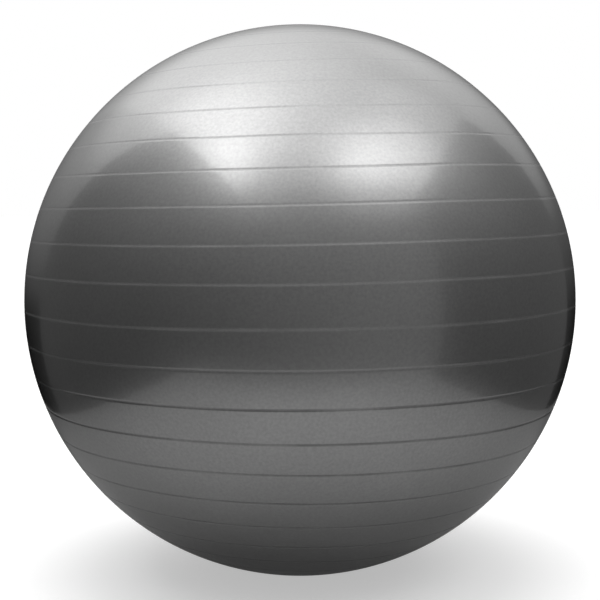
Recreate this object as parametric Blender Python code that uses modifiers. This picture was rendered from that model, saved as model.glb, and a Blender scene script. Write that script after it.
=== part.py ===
"""Inflated exercise ball: a hollow skin with ring grooves, a moulded-in valve and its air plug.

The valve axis is vertical, with the valve on top. The origin is the middle of the flat patch
that the ball rests on, and +Z is up. All lengths are in metres.
"""

import math

import bmesh
import bpy

# Ball
BALL_RADIUS = 0.325          # 650 mm across when blown up
WALL = 0.0010                # skin thickness once it has stretched
PATCH_RADIUS = 0.035         # flat patch that the ball's weight presses against the floor
CENTRE_HEIGHT = math.sqrt(BALL_RADIUS**2 - PATCH_RADIUS**2)
SKIN_SEGMENTS = 52

# Ring grooves, evenly spaced in latitude on both sides of the one on the equator
RING_STEP = math.radians(90.0 / 13)
LAST_RING = 12
GROOVE_WIDTH = 0.0034
GROOVE_DEPTH = 0.0003

# Valve end of the skin, as radii from the axis and depths below the top of the ball
DISH_LIP_RADIUS = 0.0175
DISH_FLOOR_RADIUS = 0.0140
DISH_DEPTH = 0.0030
LIP_ROUNDING = 0.0015
BOSS_RADIUS = 0.0200
BOSS_BLEND_RADIUS = 0.0270
BOSS_DEPTH = 0.0055
HOLE_RADIUS = 0.0090

# Clearance left between any two pieces
GAP = 0.0003

# Valve seat
COLLAR_RADIUS = HOLE_RADIUS - GAP
FLANGE_RADIUS = 0.0160
FLANGE_THICKNESS = 0.0020
NECK_RADIUS = 0.0075
NECK_END_DEPTH = 0.0290
BORE_RADIUS = 0.0046
BORE_LEAD_IN = 0.0008
VALVE_SEGMENTS = 32

# Air plug
HEAD_RADIUS = 0.0100
HEAD_THICKNESS = 0.0023
HEAD_ROUNDING = 0.0006
DIMPLE_RADIUS = 0.0024
DIMPLE_DEPTH = 0.0008
STEM_TOP_RADIUS = 0.0042
STEM_END_RADIUS = 0.0034
STEM_TIP_RADIUS = 0.0022
STEM_END_DEPTH = 0.0275
TIP_LENGTH = 0.0030
BARB_RADIUS = 0.0043
BARB_LENGTH = 0.0024
BARB_DEPTHS = (0.0115, 0.0185)

TOP_HEIGHT = CENTRE_HEIGHT + BALL_RADIUS


def ball_point(radius, latitude):
    """Profile point at a latitude in radians on a sphere about the ball's centre."""
    return (radius * math.cos(latitude), CENTRE_HEIGHT + radius * math.sin(latitude))


def below_top(radius, depth):
    """Profile point at a radius from the axis and a depth below the top of the ball."""
    return (radius, TOP_HEIGHT - depth)


def latitude_at(sphere_radius, radius):
    """Latitude at which a sphere about the ball's centre has this radius from the axis."""
    return math.acos(radius / sphere_radius)


def outer_wall():
    """Outside of the skin from the dish's lip down to the floor patch: a V at each ring groove."""
    half_groove = 0.5 * GROOVE_WIDTH / BALL_RADIUS
    points = [ball_point(BALL_RADIUS, latitude_at(BALL_RADIUS, DISH_LIP_RADIUS))]
    for ring in range(LAST_RING, -LAST_RING - 1, -1):
        latitude = ring * RING_STEP
        points.append(ball_point(BALL_RADIUS, latitude + half_groove))
        points.append(ball_point(BALL_RADIUS - GROOVE_DEPTH, latitude))
        points.append(ball_point(BALL_RADIUS, latitude - half_groove))
    points.append((PATCH_RADIUS, 0.0))
    points.append((0.0, 0.0))
    return points


def inner_wall():
    """Inside of the skin from the floor patch up to the valve boss.

    Its corners lie midway between the rings, so its flats pass inside the grooves and the wall
    keeps nearly the same thickness there.
    """
    inner_radius = BALL_RADIUS - WALL
    points = [(0.0, WALL), ball_point(inner_radius, -latitude_at(inner_radius, PATCH_RADIUS))]
    for ring in range(-LAST_RING, LAST_RING):
        points.append(ball_point(inner_radius, (ring + 0.5) * RING_STEP))
    points.append(ball_point(inner_radius, latitude_at(inner_radius, BOSS_BLEND_RADIUS)))
    return points


def valve_end():
    """Valve boss, hole and dish, from inside the ball to the dish's lip."""
    lip_drop = BALL_RADIUS - math.sqrt(BALL_RADIUS**2 - DISH_LIP_RADIUS**2)
    return [
        below_top(BOSS_RADIUS, BOSS_DEPTH),
        below_top(HOLE_RADIUS, BOSS_DEPTH),
        below_top(HOLE_RADIUS, DISH_DEPTH),
        below_top(DISH_FLOOR_RADIUS, DISH_DEPTH),
        below_top(DISH_LIP_RADIUS - LIP_ROUNDING, lip_drop + 0.4 * LIP_ROUNDING),
    ]


def skin_profile():
    return inner_wall() + valve_end() + outer_wall()


def seat_profile():
    """Closed outline of the valve seat, down its outer side and back up its bore."""
    flange_top = BOSS_DEPTH + GAP
    flange_end = flange_top + FLANGE_THICKNESS
    outline = [
        below_top(BORE_RADIUS + BORE_LEAD_IN, DISH_DEPTH),
        below_top(COLLAR_RADIUS, DISH_DEPTH),
        below_top(COLLAR_RADIUS, flange_top),
        below_top(FLANGE_RADIUS, flange_top),
        below_top(FLANGE_RADIUS, flange_end),
        below_top(NECK_RADIUS, flange_end),
        below_top(NECK_RADIUS, NECK_END_DEPTH),
        below_top(BORE_RADIUS, NECK_END_DEPTH),
        below_top(BORE_RADIUS, DISH_DEPTH + BORE_LEAD_IN),
    ]
    return outline + outline[:1]


def stem_radius(depth):
    """Radius of the tapered stem at a depth below the top of the ball."""
    start = DISH_DEPTH
    taper = (depth - start) / (STEM_END_DEPTH - TIP_LENGTH - start)
    return STEM_TOP_RADIUS + (STEM_END_RADIUS - STEM_TOP_RADIUS) * taper


def plug_profile():
    """Plug outline from the dimple in its head, down its outer side, to its tip."""
    head_bottom = DISH_DEPTH - GAP
    head_top = head_bottom - HEAD_THICKNESS
    outline = [
        below_top(0.0, head_top + DIMPLE_DEPTH),
        below_top(DIMPLE_RADIUS, head_top + DIMPLE_DEPTH),
        below_top(DIMPLE_RADIUS + DIMPLE_DEPTH, head_top),
        below_top(HEAD_RADIUS - HEAD_ROUNDING, head_top),
        below_top(HEAD_RADIUS, head_top + HEAD_ROUNDING),
        below_top(HEAD_RADIUS, head_bottom - 0.5 * HEAD_ROUNDING),
        below_top(HEAD_RADIUS - 0.5 * HEAD_ROUNDING, head_bottom),
        below_top(STEM_TOP_RADIUS, head_bottom),
    ]
    for depth in BARB_DEPTHS:
        barb_end = depth + BARB_LENGTH
        outline += [
            below_top(stem_radius(depth), depth),
            below_top(BARB_RADIUS, depth + 0.25 * BARB_LENGTH),
            below_top(stem_radius(barb_end), barb_end),
        ]
    outline += [
        below_top(STEM_END_RADIUS, STEM_END_DEPTH - TIP_LENGTH),
        below_top(STEM_TIP_RADIUS, STEM_END_DEPTH),
        below_top(0.0, STEM_END_DEPTH),
    ]
    return outline


def plastic(name, colour, roughness):
    material = bpy.data.materials.new(name)
    material.use_nodes = True
    shader = material.node_tree.nodes["Principled BSDF"]
    shader.inputs["Base Color"].default_value = (*colour, 1.0)
    shader.inputs["Roughness"].default_value = roughness
    shader.inputs["Metallic"].default_value = 0.0
    return material


def turned(name, profile, segments, material, collection, origin_height=0.0):
    """Turn a profile of (radius, height) points about the Z axis with a Screw modifier."""
    mesh = bpy.data.meshes.new(name)
    outline = bmesh.new()
    corners = [outline.verts.new((radius, 0.0, height - origin_height)) for radius, height in profile]
    for start, end in zip(corners, corners[1:]):
        outline.edges.new((start, end))
    bmesh.ops.remove_doubles(outline, verts=outline.verts, dist=1e-6)
    outline.to_mesh(mesh)
    outline.free()

    piece = bpy.data.objects.new(name, mesh)
    piece.location.z = origin_height
    collection.objects.link(piece)
    mesh.materials.append(material)

    screw = piece.modifiers.new("turn", "SCREW")
    screw.axis = "Z"
    screw.steps = segments
    screw.render_steps = segments
    screw.use_merge_vertices = True
    screw.merge_threshold = 1e-5
    screw.use_smooth_shade = True
    return piece


def clear_scene():
    for item in list(bpy.data.objects):
        bpy.data.objects.remove(item, do_unlink=True)


def build():
    clear_scene()
    collection = bpy.data.collections.new("exercise_ball")
    bpy.context.scene.collection.children.link(collection)

    silver_grey = plastic("satin_silver_pvc", (0.30, 0.30, 0.31), 0.38)
    soft_grey = plastic("soft_grey_pvc", (0.22, 0.22, 0.23), 0.55)
    white = plastic("white_plug_plastic", (0.85, 0.85, 0.83), 0.40)

    turned("ball_skin", skin_profile(), SKIN_SEGMENTS, silver_grey, collection)
    turned("valve_seat", seat_profile(), VALVE_SEGMENTS, soft_grey, collection)
    turned("air_plug", plug_profile(), VALVE_SEGMENTS, white, collection,
           origin_height=TOP_HEIGHT - DISH_DEPTH)


build()
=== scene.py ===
"""Looks of the inflated exercise ball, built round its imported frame. All lengths are in metres."""

import math
import random

import bpy
from mathutils import Matrix, Vector, noise


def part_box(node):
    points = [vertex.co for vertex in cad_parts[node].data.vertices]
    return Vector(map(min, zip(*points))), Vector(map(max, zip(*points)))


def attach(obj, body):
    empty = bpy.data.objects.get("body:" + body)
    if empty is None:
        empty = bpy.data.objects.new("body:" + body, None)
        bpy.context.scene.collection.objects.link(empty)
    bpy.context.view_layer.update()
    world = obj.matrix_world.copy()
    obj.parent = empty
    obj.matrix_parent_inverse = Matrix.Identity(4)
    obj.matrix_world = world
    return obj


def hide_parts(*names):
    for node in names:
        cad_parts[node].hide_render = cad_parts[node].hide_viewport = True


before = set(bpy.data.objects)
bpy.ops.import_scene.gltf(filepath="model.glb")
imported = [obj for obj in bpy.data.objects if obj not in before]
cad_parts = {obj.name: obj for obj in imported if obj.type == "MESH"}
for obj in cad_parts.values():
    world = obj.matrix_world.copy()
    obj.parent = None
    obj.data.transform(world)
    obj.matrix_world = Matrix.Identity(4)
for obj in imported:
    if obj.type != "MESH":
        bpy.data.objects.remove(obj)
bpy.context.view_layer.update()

SKIN_LOW, SKIN_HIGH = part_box("ball_skin")
PLUG_LOW, PLUG_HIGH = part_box("air_plug")
SEAT_LOW, SEAT_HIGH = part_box("valve_seat")

# Ball, from the frame
BALL_RADIUS = 0.5 * (SKIN_HIGH.x - SKIN_LOW.x)
PATCH_RADIUS = 0.035              # flat patch that the ball stands on
PATCH_EDGE = 0.0012               # width of the slope that leads into it
CENTRE_HEIGHT = SKIN_LOW.z + math.sqrt(BALL_RADIUS**2 - PATCH_RADIUS**2)
TOP_HEIGHT = CENTRE_HEIGHT + BALL_RADIUS
WALL = 0.0010
SKIN_SEGMENTS = 216
INNER_STEPS = 44
ON_AXIS = 1e-7                    # a smaller radius is a point on the axis

# Ring grooves: matte, shallow in the upper half of the ball, deeper in the lower half, where their
# colour is darkened as painted shade
RING_STEP = math.radians(90.0 / 13)
LAST_RING = 12
GROOVE_HALF_WIDTH = 0.0020
UPPER_DEPTH, LOWER_DEPTH = 0.00009, 0.00030
# Painted shade: how far a groove's colour is mixed towards black, in the upper and in the lower half
UPPER_GROOVE_SHADE, LOWER_GROOVE_SHADE = 0.0, 0.3
MATTE_RISE = 0.22                 # how much rougher the grooves are than the smooth bands
WEAR = 0.5                        # how unevenly a groove is cut along its length, and how unevenly its roughness and painted shade run
WEAR_SCALE = 9.0
WEAR_SHIFT = 3.7                  # from ring to ring, so that no two rings wear alike
DENT = 0.00012                    # depth of the slow dips all over the skin
DENT_SCALE = 4.5

# How the rings stray from even spacing
SPACING_DRIFT = math.radians(0.42)
SPACING_PERIOD = 8.5              # in rings
RAISED_RING, RAISED_BY = 1, math.radians(0.4)
FAN = 0.03                        # share of its latitude that a ring strays, opening towards one side
WANDER = math.radians(0.10)

# Valve end
DISH_DEPTH = TOP_HEIGHT - SEAT_HIGH.z
DISH_LIP_RADIUS = 0.0175
DISH_FLOOR_RADIUS = 0.0140
HOLE_RADIUS = 0.0090
BOSS_RADIUS = 0.0200
BOSS_BLEND_RADIUS = 0.0270
BOSS_DEPTH = 0.0055
SHOULDER_RADIUS = 0.0215          # where the dish's rounded lip meets the ball
COLLAR_RADIUS = 0.0087
NECK_RADIUS = 0.0075
BORE_RADIUS = 0.0046
FLANGE_THICKNESS = 0.0020
BORE_LEAD_IN = 0.0008
HEAD_THICKNESS = 0.0023
DIMPLE_DEPTH = 0.0008
STEM_RADIUS = 0.0042
BARB_RADIUS = 0.0043
BARB_LENGTH = 0.0024
BARB_DEPTHS = (0.0115, 0.0185)    # below the top of the ball
GAP = 0.0003                      # between two pieces
VALVE_SEGMENTS = 96

# Skin finish
SKIN_GREYS = (0.298, 0.366)
SKIN_METALLIC = 0.88
SKIN_ROUGHNESS = (0.28, 0.31)     # below about 0.274 the denoiser works otherwise, and patches show
COAT_ROUGHNESS = 0.08

# Studio: levels of light along the height of a direction, -1 straight down and 1 straight up
SHEET_LIGHT = ((-0.1, 0), (0.05, 0.15), (0.2, 0.3), (0.4, 0.6), (0.6, 1.4), (0.8, 1.8), (1, 2.5))
SHEET_FALL = (1.02, 0.4)          # share of that light at the left and at the right
BACK_SHARE = (0.75, 1.1)          # share of it again on the sheet behind, at the left and at the right
SHEET_EDGE, FRONT_EDGE = 0.015, 0.24        # half widths of the sheets' crisp sides and soft front
WALL_LIGHT = ((-1, 0.01), (-0.3, 0.07), (-0.1, 0.09), (0.05, 0.1), (0.25, 0.14), (0.5, 0.27), (0.8, 0.7))
WALL_FALL = (0.8, 1.0)            # share of that light at the left and at the right
FRONT_WALL_LIGHT = 0.16           # at its right end, falling to nothing on the left
FRONT_WALL_EDGE = 0.02
SOFTBOXES = (                     # azimuth, elevation, half angles of core and edge (degrees), level
    (-50, 50, 5, 18, 1.35),
    (-72, 57, 8, 35, 0.75),
    (35, 51, 3, 12, 1.0),
    (50, 53, 3, 14, 0.45),
    (52, 43, 6, 35, 1.7),
    (107, 54, 4, 20, 0.45),
    (143, 31, 5, 26, 0.25),
)
OVERHEAD_POWER = 30.0             # watts; reflections don't show this lamp
OVERHEAD_SIZE = 2.0
OVERHEAD_HEIGHT = 2.4
TABLE_CORNERS = ((-0.65, -1.0), (0.64, 1.0))
TABLE_DROP = 0.0008               # below the ball's flat patch
TABLE_GREY = 0.34
# Painted light: the table glows faintly, lifting the ball's shadow on it
TABLE_GLOW = 0.04
FLOOR_CORNERS = ((-30, -30), (30, 30))
FLOOR_DROP = 0.0004               # below the patch, and above the table that only reflections show
FLOOR_GREY = 0.6
FLOOR_GLOW = 0.45                 # keeps the ball's shadow on the pale floor faint

# Camera
CAMERA_DISTANCE = 4.54 * BALL_RADIUS
CAMERA_ELEVATION = math.radians(4.8)
CAMERA_ROLL = math.radians(-0.6)
BALL_SHARE_OF_FRAME = 0.9195


# ---------------------------------------------------------------- shapes

def mesh_object(name, points, faces):
    mesh = bpy.data.meshes.new(name)
    mesh.from_pydata([tuple(p) for p in points], [], faces)
    mesh.validate()
    mesh.update()
    mesh.shade_smooth()
    piece = bpy.data.objects.new(name, mesh)
    bpy.context.scene.collection.objects.link(piece)
    return piece


def turned_faces(count, segments, first_on_axis, last_on_axis, closed):
    """Faces of a turned grid: its points run round each ring, and a ring on the axis is one point."""
    starts, index = [], 0
    for ring in range(count):
        starts.append(index)
        on_axis = (ring == 0 and first_on_axis) or (ring == count - 1 and last_on_axis)
        index += 1 if on_axis else segments
    faces = []
    for ring in range(count if closed else count - 1):
        nxt = (ring + 1) % count
        for j in range(segments):
            k = (j + 1) % segments
            if ring == 0 and first_on_axis:
                faces.append((starts[0], starts[1] + j, starts[1] + k))
            elif nxt == count - 1 and last_on_axis:
                faces.append((starts[ring] + k, starts[ring] + j, starts[nxt]))
            else:
                faces.append((starts[ring] + j, starts[nxt] + j, starts[nxt] + k, starts[ring] + k))
    return faces


def turned_points(profile, segments):
    points = []
    for radius, height in profile:
        if radius < ON_AXIS:
            points.append((0.0, 0.0, height))
            continue
        for j in range(segments):
            angle = 2 * math.pi * j / segments
            points.append((radius * math.cos(angle), radius * math.sin(angle), height))
    return points


def turned(name, profile, segments, closed=False):
    """A solid turned about Z from (radius, height) points that run down its outer side."""
    first, last = profile[0][0] < ON_AXIS, profile[-1][0] < ON_AXIS
    faces = turned_faces(len(profile), segments, first, last, closed)
    return mesh_object(name, turned_points(profile, segments), faces)


def rounded(corners, steps=4):
    """Outline through (radius, height, fillet) corners, each fillet an arc between its two sides."""
    outline = []
    for i, (r, z, fillet) in enumerate(corners):
        here = Vector((r, z))
        if fillet == 0 or i in (0, len(corners) - 1):
            outline.append((r, z))
            continue
        before = (Vector(corners[i - 1][:2]) - here).normalized()
        after = (Vector(corners[i + 1][:2]) - here).normalized()
        half = 0.5 * before.angle(after)
        reach = fillet / math.tan(half)
        middle = here + (before + after).normalized() * (fillet / math.sin(half))
        start, end = here + before * reach - middle, here + after * reach - middle
        sweep = start.angle_signed(end)
        for step in range(steps + 1):
            turn = Matrix.Rotation(-sweep * step / steps, 2)
            point = middle + turn @ start
            outline.append((point.x, point.y))
    return outline


def ball_point(radius, latitude):
    return (radius * math.cos(latitude), CENTRE_HEIGHT + radius * math.sin(latitude))


def outer_rings():
    """(latitude, groove share, ring number) down the skin's outer wall, from first to last groove."""
    groove = GROOVE_HALF_WIDTH / BALL_RADIUS
    offsets = (-1.35, -1.0, -0.66, -0.33, 0.0, 0.33, 0.66, 1.0, 1.35)     # in half widths
    rows = []
    for ring in range(LAST_RING, -LAST_RING - 1, -1):
        for offset in offsets:
            share = 0.5 + 0.5 * math.cos(math.pi * offset) if abs(offset) < 1 else 0.0
            rows.append((ring * RING_STEP - offset * groove, share, ring))
        if ring > -LAST_RING:
            gap = RING_STEP - 2 * offsets[-1] * groove
            for part in (0.2, 0.4, 0.6, 0.8):
                rows.append((ring * RING_STEP - offsets[-1] * groove - part * gap, 0.0, ring))
    return rows


class RingDrift:
    """How far each ring strays from its even latitude: a stretched skin is never quite regular."""

    def __init__(self, seed):
        pick = random.Random(seed)
        self.waves = {}
        for ring in range(-LAST_RING - 1, LAST_RING + 2):
            self.waves[ring] = [
                (count, WANDER * pick.uniform(0.3, 1.0) / math.sqrt(count), pick.uniform(0, 2 * math.pi))
                for count in (1, 2, 3, 5, 8)
            ]

    def of_ring(self, ring, longitude):
        drift = SPACING_DRIFT * math.cos(2 * math.pi * (ring - 3) / SPACING_PERIOD)
        if ring == RAISED_RING:
            drift += RAISED_BY
        waves = self.waves[ring]
        wander = sum(size * math.sin(count * longitude + phase) for count, size, phase in waves)
        return drift + wander + FAN * ring * RING_STEP * math.sin(longitude)

    def at(self, latitude, longitude):
        place = latitude / RING_STEP
        below = math.floor(place)
        share = place - below
        fade = min(1.0, max(0.0, (LAST_RING - abs(place)) / 2.0))
        low = self.of_ring(max(-LAST_RING - 1, below), longitude)
        high = self.of_ring(min(LAST_RING + 1, below + 1), longitude)
        return fade * (low * (1 - share) + high * share)


def skin_profile_ends():
    """The skin's profile below the last groove, inside the wall, and round the valve."""
    inner_radius = BALL_RADIUS - WALL
    floor_end = [
        ball_point(BALL_RADIUS, -math.acos((PATCH_RADIUS + PATCH_EDGE) / BALL_RADIUS)),
        (PATCH_RADIUS, SKIN_LOW.z),
        (0.5 * PATCH_RADIUS, SKIN_LOW.z),
        (0.0, SKIN_LOW.z),
    ]
    patch_latitude = -math.acos(PATCH_RADIUS / inner_radius)
    blend_latitude = math.acos(BOSS_BLEND_RADIUS / inner_radius)
    inside = [(0.0, SKIN_LOW.z + WALL)]
    for step in range(INNER_STEPS + 1):
        share = step / INNER_STEPS
        latitude = patch_latitude + (blend_latitude - patch_latitude) * share
        inside.append(ball_point(inner_radius, latitude))
    return floor_end, inside


def valve_end():
    """The skin's boss, hole and dish, from inside the ball to the dish's rounded lip."""
    lip_drop = BALL_RADIUS - math.sqrt(BALL_RADIUS**2 - DISH_LIP_RADIUS**2)
    shoulder_drop = BALL_RADIUS - math.sqrt(BALL_RADIUS**2 - SHOULDER_RADIUS**2)
    return rounded([
        (BOSS_BLEND_RADIUS - 0.0005, TOP_HEIGHT - BOSS_DEPTH + 0.0033, 0),
        (BOSS_RADIUS, TOP_HEIGHT - BOSS_DEPTH, 0.0015),
        (HOLE_RADIUS, TOP_HEIGHT - BOSS_DEPTH, 0.0002),
        (HOLE_RADIUS, TOP_HEIGHT - DISH_DEPTH, 0.0002),
        (DISH_FLOOR_RADIUS, TOP_HEIGHT - DISH_DEPTH, 0.0010),
        (DISH_LIP_RADIUS, TOP_HEIGHT - lip_drop, 0.0016),
        (SHOULDER_RADIUS, TOP_HEIGHT - shoulder_drop, 0),
    ], steps=5)


def below_equator(ring):
    """0 for the rings of the upper half, rising to 1 from the second ring below the equator."""
    return min(1.0, max(0.0, -0.5 * ring))


def build_skin():
    drift = RingDrift(seed=11)
    rows = outer_rings()
    floor_end, inside = skin_profile_ends()
    first = rows[0][0]
    shoulder_latitude = math.acos(SHOULDER_RADIUS / BALL_RADIUS)
    crown = [ball_point(BALL_RADIUS, shoulder_latitude + (first - shoulder_latitude) * share)
             for share in (0.25, 0.5, 0.75)]
    head = inside + valve_end() + crown
    segments = SKIN_SEGMENTS
    points = turned_points(head, segments)
    matte, groove_shade = [0.0] * len(points), [0.0] * len(points)
    for latitude, share, ring in rows:
        lower = below_equator(ring)
        depth = UPPER_DEPTH + (LOWER_DEPTH - UPPER_DEPTH) * lower
        groove_shading = UPPER_GROOVE_SHADE + (LOWER_GROOVE_SHADE - UPPER_GROOVE_SHADE) * lower
        for j in range(segments):
            angle = 2 * math.pi * j / segments
            longitude = angle + 0.5 * math.pi
            bent = latitude + drift.at(latitude, longitude)
            flat = math.cos(bent)
            outward = Vector((flat * math.cos(angle), flat * math.sin(angle), math.sin(bent)))
            place = outward * WEAR_SCALE + Vector((0, 0, WEAR_SHIFT * ring))
            wear = 1.0 + WEAR * noise.noise(place)
            dent = DENT * max(0.0, -noise.noise(outward * DENT_SCALE))
            radius = BALL_RADIUS - depth * share * wear - dent
            points.append((radius * outward.x, radius * outward.y, CENTRE_HEIGHT + radius * outward.z))
            matte.append(share**0.35 * wear)
            # painted shade in the lower grooves, strongest in the middle of a groove
            groove_shade.append(groove_shading * share**0.5 * wear)
    points += turned_points(floor_end, segments)
    count = len(head) + len(rows) + len(floor_end)
    skin = mesh_object("skin_shell", points, turned_faces(count, segments, True, True, False))
    for name, values in (("matte", matte), ("groove_shade", groove_shade)):
        values += [0.0] * (len(points) - len(values))
        skin.data.attributes.new(name, "FLOAT", "POINT").data.foreach_set("value", values)
    return skin


def build_seat():
    top = SEAT_HIGH.z
    flange = 0.5 * (SEAT_HIGH.x - SEAT_LOW.x)
    flange_top = TOP_HEIGHT - BOSS_DEPTH - GAP
    flange_end = flange_top - FLANGE_THICKNESS
    outline = rounded([
        (BORE_RADIUS + 0.0015, top, 0),
        (COLLAR_RADIUS, top, 0.0004),
        (COLLAR_RADIUS, flange_top, 0.0001),
        (flange, flange_top, 0.0006),
        (flange, flange_end, 0.0006),
        (NECK_RADIUS, flange_end, 0.0012),
        (NECK_RADIUS - 0.0006, SEAT_LOW.z, 0.0006),
        (BORE_RADIUS, SEAT_LOW.z, 0.0003),
        (BORE_RADIUS, top - BORE_LEAD_IN, 0.0010),
        (BORE_RADIUS + 0.0010, top, 0),
    ])
    return turned("valve_collar", outline, VALVE_SEGMENTS, closed=True)


def build_plug():
    top, tip = PLUG_HIGH.z, PLUG_LOW.z
    head = 0.5 * (PLUG_HIGH.x - PLUG_LOW.x)
    head_bottom = top - HEAD_THICKNESS
    corners = [
        (0.0, top - DIMPLE_DEPTH, 0),
        (0.0024, top - DIMPLE_DEPTH, 0.0003),
        (0.0032, top, 0.0003),
        (head - 0.0016, top, 0.0003),
        (head - 0.0012, top - 0.0003, 0.0002),
        (head, top - 0.0006, 0.0005),
        (head, head_bottom, 0.0005),
        (STEM_RADIUS + 0.0003, head_bottom, 0.0003),
        (STEM_RADIUS, head_bottom - 0.0006, 0.0003),
    ]
    for depth in BARB_DEPTHS:
        start = TOP_HEIGHT - depth
        corners += [
            (0.0038, start, 0.0002),
            (BARB_RADIUS, start - 0.0006, 0.0001),
            (0.0037, start - BARB_LENGTH, 0.0003),
        ]
    corners += [(0.0034, tip + 0.0030, 0.0008), (0.0022, tip, 0.0005), (0.0, tip, 0)]
    return turned("stopper_plug", rounded(corners), VALVE_SEGMENTS)


# ---------------------------------------------------------------- materials

class Nodes:
    """A small helper that builds one node tree."""

    def __init__(self, tree):
        self.tree = tree

    def add(self, kind, **settings):
        node = self.tree.nodes.new(kind)
        for key, value in settings.items():
            setattr(node, key, value)
        return node

    def put(self, value, socket):
        """Set a socket to a constant, or link it to another node's output."""
        if isinstance(value, bpy.types.NodeSocket):
            self.tree.links.new(value, socket)
        else:
            socket.default_value = value

    def math(self, operation, first, second=0.0):
        node = self.add("ShaderNodeMath", operation=operation)
        self.put(first, node.inputs[0])
        self.put(second, node.inputs[1])
        return node.outputs[0]

    def spread(self, value, low, high, start=0.3, end=0.7, kind="LINEAR"):
        node = self.add("ShaderNodeMapRange", interpolation_type=kind)
        for name, number in (("From Min", start), ("From Max", end), ("To Min", low), ("To Max", high)):
            node.inputs[name].default_value = number
        self.put(value, node.inputs["Value"])
        return node.outputs["Result"]

    def ramp(self, value, stops):
        """Level along stops of (value, level), from a value between -1 and 1."""
        top = max(level for _, level in stops)
        node = self.add("ShaderNodeValToRGB")
        elements = node.color_ramp.elements
        for i, (place, level) in enumerate(stops):
            element = elements[i] if i < 2 else elements.new(0.5 + 0.5 * place)
            element.position = 0.5 + 0.5 * place
            element.color = (level / top, level / top, level / top, 1)
        self.put(self.spread(value, 0, 1, -1, 1), node.inputs["Fac"])
        return self.math("MULTIPLY", node.outputs["Color"], top)

    def noise(self, scale, detail=2.0):
        node = self.add("ShaderNodeTexNoise")
        node.inputs["Scale"].default_value = scale
        node.inputs["Detail"].default_value = detail
        self.put(self.add("ShaderNodeTexCoord").outputs["Object"], node.inputs["Vector"])
        return node.outputs["Fac"]

    def greys(self, value, dark, light):
        node = self.add("ShaderNodeMix", data_type="RGBA")
        sockets = {socket.identifier: socket for socket in node.inputs}
        for colour, identifier in ((dark, "A_Color"), (light, "B_Color")):
            self.put((*colour, 1) if isinstance(colour, tuple) else colour, sockets[identifier])
        self.put(value, sockets["Factor_Float"])
        return next(socket for socket in node.outputs if socket.identifier == "Result_Color")

    def bump(self, height, distance, strength):
        node = self.add("ShaderNodeBump")
        node.inputs["Distance"].default_value = distance
        node.inputs["Strength"].default_value = strength
        self.put(height, node.inputs["Height"])
        return node.outputs["Normal"]


def new_material(name):
    material = bpy.data.materials.new(name)
    material.use_nodes = True
    nodes = Nodes(material.node_tree)
    return material, nodes, material.node_tree.nodes["Principled BSDF"].inputs


def skin_material():
    """Silver pigment in clear PVC: flakes give a broad sheen, and the coat over them a sharper one."""
    material, n, shader = new_material("silver_pvc_skin")
    flow = n.math("MULTIPLY", n.noise(5.0, detail=3.0), 0.3)
    grain = n.math("MULTIPLY", n.noise(330.0, detail=2.0), 0.7)
    tone = n.spread(n.math("ADD", flow, grain), 0, 1)
    dark, light = SKIN_GREYS
    silver = n.greys(tone, (dark, dark, dark), (light, light, light))
    # Painted shade: the colour of the lower grooves is mixed towards black
    groove_shade = n.add("ShaderNodeAttribute", attribute_name="groove_shade").outputs["Fac"]
    n.put(n.greys(groove_shade, silver, (0.0, 0.0, 0.0)), shader["Base Color"])
    n.put(SKIN_METALLIC, shader["Metallic"])
    n.put((0.9, 0.9, 0.9, 1), shader["Specular Tint"])
    smooth = n.spread(n.noise(14.0, detail=4.0), *SKIN_ROUGHNESS)
    matte = n.add("ShaderNodeAttribute", attribute_name="matte").outputs["Fac"]
    n.put(n.math("ADD", smooth, n.math("MULTIPLY", matte, MATTE_RISE)), shader["Roughness"])
    n.put(1.0, shader["Coat Weight"])
    n.put(COAT_ROUGHNESS, shader["Coat Roughness"])
    n.put(n.bump(n.noise(260.0), 0.00004, 0.5), shader["Normal"])
    return material


def collar_material():
    material, n, shader = new_material("soft_grey_pvc_collar")
    grey = n.greys(n.noise(300.0, detail=3.0), (0.10, 0.10, 0.10), (0.15, 0.15, 0.15))
    n.put(grey, shader["Base Color"])
    n.put(n.spread(n.noise(700.0), 0.48, 0.62), shader["Roughness"])
    n.put(n.bump(n.noise(1500.0), 0.00003, 0.5), shader["Normal"])
    return material


def plug_material():
    material, n, shader = new_material("white_plug_plastic")
    white = n.greys(n.noise(220.0, detail=3.0), (0.58, 0.58, 0.56), (0.66, 0.66, 0.64))
    n.put(white, shader["Base Color"])
    n.put(n.spread(n.noise(500.0), 0.36, 0.48), shader["Roughness"])
    n.put(n.bump(n.noise(1800.0), 0.00002, 0.5), shader["Normal"])
    return material


# ---------------------------------------------------------------- studio

def direction(azimuth, elevation):
    """Unit vector from the ball; azimuth 0 points towards the camera and 90 to its right."""
    a, e = math.radians(azimuth), math.radians(elevation)
    return Vector((math.sin(a) * math.cos(e), -math.cos(a) * math.cos(e), math.sin(e)))


def through(first, second):
    """Normal of the plane through the ball and two (azimuth, elevation) directions, zenith side."""
    normal = direction(*first).cross(direction(*second)).normalized()
    return normal if normal.z > 0 else -normal


BACK_SHEET_LEFT = through((-97, 53.5), (-117, 27))
BACK_SHEET_RIGHT = through((126, 41.5), (136, 9.5))
TOP_SHEET_LEFT = through((-97, 53.5), (-56, 53))
TOP_SHEET_RIGHT = through((125, 40.5), (87, 44.5))
TOP_SHEET_FRONT = through((-34, 41.5), (33.5, 48.5))


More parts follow.
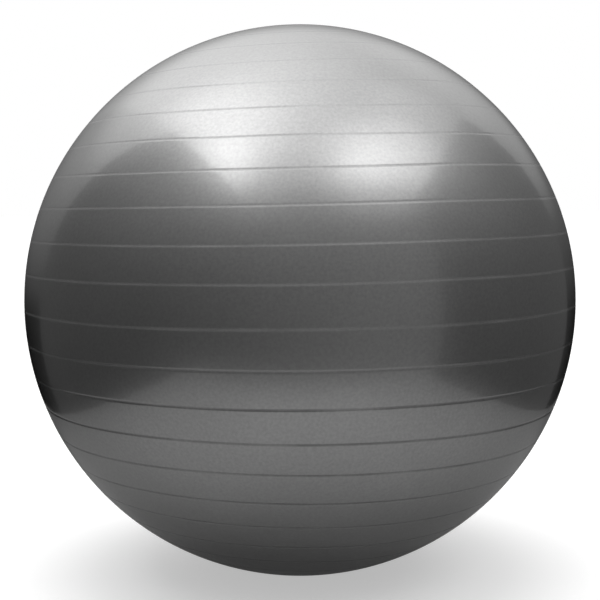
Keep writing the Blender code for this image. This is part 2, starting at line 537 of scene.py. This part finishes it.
def floor_sheet(name, corners, height, grey):
    """A flat matte sheet, and its node helper and shader inputs."""
    mesh = bpy.data.meshes.new(name)
    (x0, y0), (x1, y1) = corners
    points = [(x0, y0, height), (x1, y0, height), (x1, y1, height), (x0, y1, height)]
    mesh.from_pydata(points, [], [(0, 1, 2, 3)])
    sheet = bpy.data.objects.new(name, mesh)
    bpy.context.scene.collection.objects.link(sheet)
    material, n, shader = new_material(name + "_paint")
    n.put((grey, grey, grey, 1), shader["Base Color"])
    n.put(0.9, shader["Roughness"])
    n.put(0.0, shader["Specular IOR Level"])
    mesh.materials.append(material)
    sheet.visible_shadow = False
    return sheet, n, shader


def build_table():
    """The table that the ball mirrors, its colour painted: lighter in the middle, with painted shade at
    its ends and behind the ball.
    """
    table, n, shader = floor_sheet("table", TABLE_CORNERS, SKIN_LOW.z - TABLE_DROP, TABLE_GREY)
    place = n.add("ShaderNodeSeparateXYZ")
    n.put(n.add("ShaderNodeTexCoord").outputs["Object"], place.inputs[0])
    x, y, _ = place.outputs
    # Painted shade: the table's colour darkens behind the ball, at its front edge and at its ends
    back = n.spread(y, 1.0, 0.2, -0.3, 0.45)
    front = n.spread(y, 0.2, 1.0, -1.0, -0.68)
    ends = n.spread(n.math("ABSOLUTE", n.math("SUBTRACT", x, 0.02)), 1.0, 0.54, 0.15, 0.7)
    share = n.math("MULTIPLY", n.math("MULTIPLY", back, front), ends)
    n.put(n.math("MULTIPLY", share, TABLE_GREY), shader["Base Color"])
    # Painted light: a faint glow that lifts the ball's shadow on the table
    n.put((1, 1, 1, 1), shader["Emission Color"])
    n.put(TABLE_GLOW, shader["Emission Strength"])
    table.visible_camera = False


def studio_world():
    """A light tent for reflections and light: pale sheets above and behind, softboxes, darker walls.

    The camera sees plain white instead.
    """
    world = bpy.data.worlds.new("studio")
    bpy.context.scene.world = world
    world.use_nodes = True
    world.node_tree.nodes.clear()
    n = Nodes(world.node_tree)
    look = n.add("ShaderNodeTexCoord").outputs["Generated"]
    parts = n.add("ShaderNodeSeparateXYZ")
    n.put(look, parts.inputs[0])
    across, _, height = parts.outputs

    def along(vector):
        node = n.add("ShaderNodeVectorMath", operation="DOT_PRODUCT")
        n.put(look, node.inputs[0])
        node.inputs[1].default_value = vector
        return node.outputs["Value"]

    def above(plane, edge=SHEET_EDGE):
        return n.spread(along(plane), 0, 1, -edge, edge, kind="SMOOTHSTEP")

    def softbox(azimuth, elevation, inner, outer, level):
        centre = along(direction(azimuth, elevation))
        edge, core = math.cos(math.radians(outer)), math.cos(math.radians(inner))
        return n.spread(centre, 0, level, edge, core, "SMOOTHSTEP")

    behind = n.math("MINIMUM", above(BACK_SHEET_LEFT), above(BACK_SHEET_RIGHT))
    overhead = n.math("MINIMUM", above(TOP_SHEET_LEFT), above(TOP_SHEET_RIGHT))
    overhead = n.math("MINIMUM", overhead, above(TOP_SHEET_FRONT, FRONT_EDGE))
    sheets = n.math("MAXIMUM", behind, overhead)
    sheet_light = n.ramp(height, SHEET_LIGHT)
    sheet_light = n.math("MULTIPLY", sheet_light, n.spread(across, *SHEET_FALL, -0.6, 0.6))
    for box in SOFTBOXES:
        sheet_light = n.math("ADD", sheet_light, softbox(*box))
    only_behind = n.math("MULTIPLY", behind, n.math("SUBTRACT", 1.0, overhead))
    back_change = n.math("SUBTRACT", n.spread(across, *BACK_SHARE, -0.6, 0.6), 1.0)
    back_share = n.math("ADD", n.math("MULTIPLY", only_behind, back_change), 1.0)
    sheet_light = n.math("MULTIPLY", sheet_light, back_share)
    wall_light = n.math("MULTIPLY", n.ramp(height, WALL_LIGHT), n.spread(across, *WALL_FALL, -0.9, 0.9))
    front = above(direction(-33, 0), FRONT_WALL_EDGE)
    front = n.math("MULTIPLY", front, n.spread(across, 0, FRONT_WALL_LIGHT, -0.9, 0.8))
    front = n.math("MULTIPLY", front, n.spread(height, 1, 0, 0.2, 0.6))
    wall_light = n.math("ADD", wall_light, front)
    sheet_part = n.math("MULTIPLY", sheets, sheet_light)
    wall_part = n.math("MULTIPLY", n.math("SUBTRACT", 1.0, sheets), wall_light)

    seen = n.add("ShaderNodeLightPath").outputs["Is Camera Ray"]
    studio = n.math("MULTIPLY", n.math("ADD", sheet_part, wall_part), n.math("SUBTRACT", 1.0, seen))
    background = n.add("ShaderNodeBackground")
    background.inputs["Color"].default_value = (1, 1, 1, 1)
    n.put(n.math("ADD", studio, seen), background.inputs["Strength"])
    n.put(background.outputs[0], n.add("ShaderNodeOutputWorld").inputs["Surface"])


def build_studio():
    studio_world()
    build_table()
    floor, n, shader = floor_sheet("pale_floor", FLOOR_CORNERS, SKIN_LOW.z - FLOOR_DROP, FLOOR_GREY)
    n.put((1, 1, 1, 1), shader["Emission Color"])
    n.put(FLOOR_GLOW, shader["Emission Strength"])
    floor.visible_glossy = False
    floor.visible_diffuse = False
    light = bpy.data.lights.new("overhead", "AREA")
    light.shape = "DISK"
    light.size = OVERHEAD_SIZE
    light.energy = OVERHEAD_POWER
    lamp = bpy.data.objects.new("overhead", light)
    lamp.location = (0, 0, OVERHEAD_HEIGHT)
    lamp.visible_glossy = False
    bpy.context.scene.collection.objects.link(lamp)


def build_camera():
    camera = bpy.data.cameras.new("camera")
    half_view = math.atan(math.tan(math.asin(BALL_RADIUS / CAMERA_DISTANCE)) / BALL_SHARE_OF_FRAME)
    camera.sensor_width = 36.0
    camera.lens = 0.5 * camera.sensor_width / math.tan(half_view)
    camera.clip_start, camera.clip_end = 0.01, 100.0
    holder = bpy.data.objects.new("camera", camera)
    bpy.context.scene.collection.objects.link(holder)
    e = CAMERA_ELEVATION
    back = Vector((0, -math.cos(e), math.sin(e)))
    holder.location = Vector((0, 0, CENTRE_HEIGHT)) + back * CAMERA_DISTANCE
    aim = back.to_track_quat("Z", "Y").to_matrix() @ Matrix.Rotation(CAMERA_ROLL, 3, "Z")
    holder.rotation_mode = "QUATERNION"
    holder.rotation_quaternion = aim.to_quaternion()
    bpy.context.scene.camera = holder


def build_ball():
    skin, collar, plug = build_skin(), build_seat(), build_plug()
    for piece, node, body, slot, material in (
        (skin, "ball_skin", "ball", "silver_pvc", skin_material()),
        (collar, "valve_seat", "ball", "valve_pvc", collar_material()),
        (plug, "air_plug", "plug", "white_plastic", plug_material()),
    ):
        piece.data.materials.append(material)
        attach(piece, body)
        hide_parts(node)


build_ball()
build_studio()
build_camera()
bpy.context.scene.view_settings.view_transform = "Standard"
